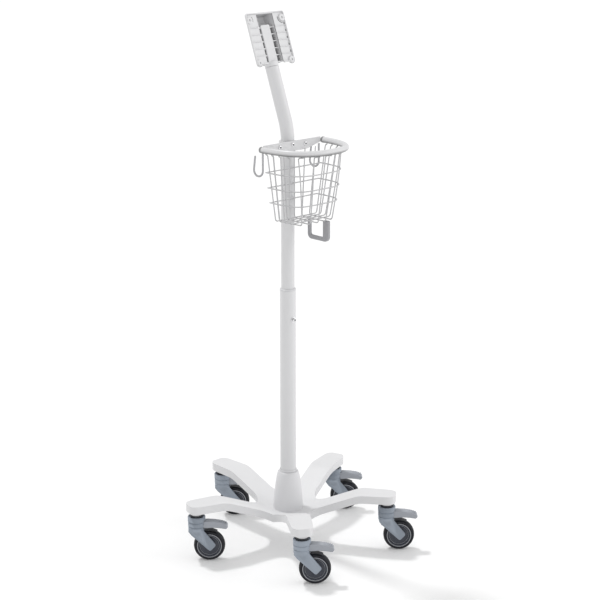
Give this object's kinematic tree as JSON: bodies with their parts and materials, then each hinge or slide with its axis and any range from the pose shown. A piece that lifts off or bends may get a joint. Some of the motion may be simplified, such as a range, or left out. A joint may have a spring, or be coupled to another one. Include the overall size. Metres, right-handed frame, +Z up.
{
  "type": "patient monitor roll stand",
  "caption": "Roll stand with a star base on braking casters, telescoping pole, tilted monitor bracket and a wire basket with cable hooks.",
  "frame": {"origin": "floor level, under the middle of the footprint box with all five casters trailing one way as built; the pole stands 18.2 mm towards -X and 6.1 mm towards -Y of it", "axes": "+Z up along the pole; -Y towards the front, where the basket hangs and the monitor bracket faces"},
  "size_m": [0.547, 0.522, 1.2834],
  "materials": {
    "white_paint": "satin white powder coat",
    "white_casting": "fine textured white powder coat on a casting",
    "white_plastic": "matte off-white moulding",
    "coated_wire": "light grey plastic-dipped wire",
    "grey_plastic": "matte mid grey moulding",
    "caster_plastic": "matte blue-grey moulding",
    "pedal_plastic": "matte grey moulding",
    "dark_plastic": "matte near-black moulding",
    "wheel_plastic": "matte dark moulding",
    "tyre_rubber": "smooth black tread",
    "plated_steel": "bright zinc plate"
  },
  "bodies": {
    "base": {"base_casting": "white_paint", "base_cone_cover": "white_plastic", "cone_collar": "white_plastic", "tube_foot_plug": "plated_steel", "base_washer": "plated_steel", "base_bolt": "plated_steel", "lower_tube": "white_paint", "height_bush": "white_plastic", "lock_insert": "plated_steel", "caster_1_stem": "dark_plastic", "caster_2_stem": "dark_plastic", "caster_3_stem": "dark_plastic", "caster_4_stem": "dark_plastic", "caster_5_stem": "dark_plastic"},
    "lock_screw_body": {"lock_screw": "plated_steel"},
    "glide": {"upper_tube_glide": "white_plastic"},
    "mast": {"upper_tube": "white_paint", "head_plate": "white_casting", "head_screw_upper": "plated_steel", "head_screw_lower": "plated_steel", "basket_bracket": "white_paint", "clamp_rear": "white_paint", "clamp_screw_left": "plated_steel", "clamp_screw_right": "plated_steel", "bracket_centre_screw": "plated_steel", "basket_rim": "white_paint", "rim_end_cap_left": "grey_plastic", "rim_end_cap_right": "grey_plastic", "basket_wires": "coated_wire", "cable_hook_left": "coated_wire", "cable_hook_right": "coated_wire", "hanging_loop": "grey_plastic"},
    "caster_1": {"caster_1_housing": "caster_plastic", "caster_1_axle": "plated_steel"},
    "caster_1_lever": {"caster_1_pedal": "pedal_plastic"},
    "caster_1_wheel": {"caster_1_wheel_core": "wheel_plastic", "caster_1_tyre": "tyre_rubber"},
    "caster_2": {"caster_2_housing": "caster_plastic", "caster_2_axle": "plated_steel"},
    "caster_2_lever": {"caster_2_pedal": "pedal_plastic"},
    "caster_2_wheel": {"caster_2_wheel_core": "wheel_plastic", "caster_2_tyre": "tyre_rubber"},
    "caster_3": {"caster_3_housing": "caster_plastic", "caster_3_axle": "plated_steel"},
    "caster_3_lever": {"caster_3_pedal": "pedal_plastic"},
    "caster_3_wheel": {"caster_3_wheel_core": "wheel_plastic", "caster_3_tyre": "tyre_rubber"},
    "caster_4": {"caster_4_housing": "caster_plastic", "caster_4_axle": "plated_steel"},
    "caster_4_lever": {"caster_4_pedal": "pedal_plastic"},
    "caster_4_wheel": {"caster_4_wheel_core": "wheel_plastic", "caster_4_tyre": "tyre_rubber"},
    "caster_5": {"caster_5_housing": "caster_plastic", "caster_5_axle": "plated_steel"},
    "caster_5_lever": {"caster_5_pedal": "pedal_plastic"},
    "caster_5_wheel": {"caster_5_wheel_core": "wheel_plastic", "caster_5_tyre": "tyre_rubber"}
  },
  "joints": [
    {"name": "mast_height", "type": "slide", "parent": "base", "child": "glide", "axis": [0, 0, 1], "range_m": [-0.2, 0.15]},
    {"name": "mast_swivel", "type": "hinge", "parent": "glide", "child": "mast", "pos_m": [-0.0182, -0.00605, 0.645], "axis": [0, 0, 1], "continuous": true},
    {"name": "lock_screw_turn", "type": "hinge", "parent": "base", "child": "lock_screw_body", "pos_m": [-0.0182, -0.02355, 0.57], "axis": [0, -1, 0], "range_deg": [0, 360]},
    {"name": "caster_1_swivel", "type": "hinge", "parent": "base", "child": "caster_1", "pos_m": [0.21196, 0.06873, 0.111], "axis": [0, 0, 1], "continuous": true},
    {"name": "caster_1_roll", "type": "hinge", "parent": "caster_1", "child": "caster_1_wheel", "pos_m": [0.23372, 0.04808, 0.0375], "axis": [0.6884, 0.7254, 0], "continuous": true},
    {"name": "caster_1_brake", "type": "hinge", "parent": "caster_1", "child": "caster_1_lever", "pos_m": [0.21776, 0.06323, 0.09], "axis": [0.6884, 0.7254, 0], "range_deg": [0, 12]},
    {"name": "caster_2_swivel", "type": "hinge", "parent": "base", "child": "caster_2", "pos_m": [-0.0182, 0.23595, 0.111], "axis": [0, 0, 1], "continuous": true},
    {"name": "caster_2_roll", "type": "hinge", "parent": "caster_2", "child": "caster_2_wheel", "pos_m": [0.00356, 0.2153, 0.0375], "axis": [0.6884, 0.7254, 0], "continuous": true},
    {"name": "caster_2_brake", "type": "hinge", "parent": "caster_2", "child": "caster_2_lever", "pos_m": [-0.0124, 0.23044, 0.09], "axis": [0.6884, 0.7254, 0], "range_deg": [0, 12]},
    {"name": "caster_3_swivel", "type": "hinge", "parent": "base", "child": "caster_3", "pos_m": [-0.24836, 0.06873, 0.111], "axis": [0, 0, 1], "continuous": true},
    {"name": "caster_3_roll", "type": "hinge", "parent": "caster_3", "child": "caster_3_wheel", "pos_m": [-0.22659, 0.04808, 0.0375], "axis": [0.6884, 0.7254, 0], "continuous": true},
    {"name": "caster_3_brake", "type": "hinge", "parent": "caster_3", "child": "caster_3_lever", "pos_m": [-0.24255, 0.06323, 0.09], "axis": [0.6884, 0.7254, 0], "range_deg": [0, 12]},
    {"name": "caster_4_swivel", "type": "hinge", "parent": "base", "child": "caster_4", "pos_m": [-0.16044, -0.20183, 0.111], "axis": [0, 0, 1], "continuous": true},
    {"name": "caster_4_roll", "type": "hinge", "parent": "caster_4", "child": "caster_4_wheel", "pos_m": [-0.13868, -0.22248, 0.0375], "axis": [0.6884, 0.7254, 0], "continuous": true},
    {"name": "caster_4_brake", "type": "hinge", "parent": "caster_4", "child": "caster_4_lever", "pos_m": [-0.15464, -0.20734, 0.09], "axis": [0.6884, 0.7254, 0], "range_deg": [0, 12]},
    {"name": "caster_5_swivel", "type": "hinge", "parent": "base", "child": "caster_5", "pos_m": [0.12404, -0.20183, 0.111], "axis": [0, 0, 1], "continuous": true},
    {"name": "caster_5_roll", "type": "hinge", "parent": "caster_5", "child": "caster_5_wheel", "pos_m": [0.1458, -0.22248, 0.0375], "axis": [0.6884, 0.7254, 0], "continuous": true},
    {"name": "caster_5_brake", "type": "hinge", "parent": "caster_5", "child": "caster_5_lever", "pos_m": [0.12985, -0.20734, 0.09], "axis": [0.6884, 0.7254, 0], "range_deg": [0, 12]}
  ]
}
